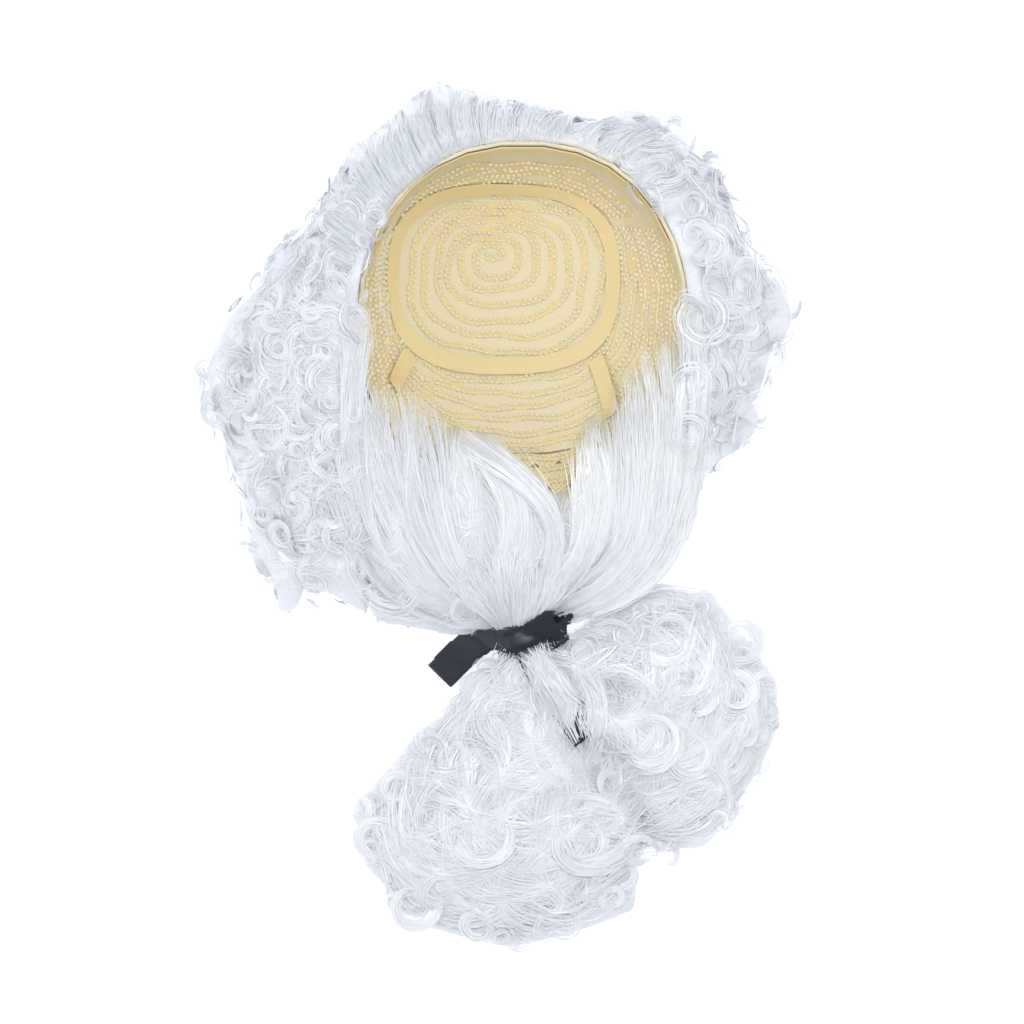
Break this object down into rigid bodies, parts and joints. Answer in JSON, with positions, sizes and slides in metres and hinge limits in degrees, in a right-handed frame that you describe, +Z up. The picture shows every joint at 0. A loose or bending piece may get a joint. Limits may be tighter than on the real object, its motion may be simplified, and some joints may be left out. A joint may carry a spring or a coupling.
{
  "type": "powdered wig",
  "caption": "White curled wig on a net cap, its queue tied with a black bow, lying on its crown with the head opening up.",
  "frame": {"origin": "under the middle of the whole wig, on the surface that it lies on", "axes": "+Z up out of the head opening, +Y towards the forehead edge, with the queue towards -Y"},
  "size_m": [0.322, 0.476, 0.115],
  "materials": {
    "hair": "glossy white fibre hair in curls",
    "net": "fine cream stretch net",
    "tape": "woven yellow tape, stitched",
    "weft": "sewn hair weft, cream thread",
    "lace": "coarse yellow lace",
    "cord": "cream piping cord",
    "ribbon": "black satin ribbon"
  },
  "bodies": {
    "root": {"cap_net": "net", "nape_lace": "lace", "front_cord": "cord", "crown_tape": "tape", "front_tape": "tape", "left_tape": "tape", "right_tape": "tape", "crown_wefts": "weft", "wall_weft_1": "weft", "wall_weft_2": "weft", "wall_weft_3": "weft", "wall_weft_4": "weft", "crown_hair": "hair", "front_hair": "hair", "left_curls": "hair", "right_curls": "hair", "nape_hair": "hair", "tail_left": "hair", "tail_right": "hair", "ribbon_bow": "ribbon"}
  },
  "joints": []
}
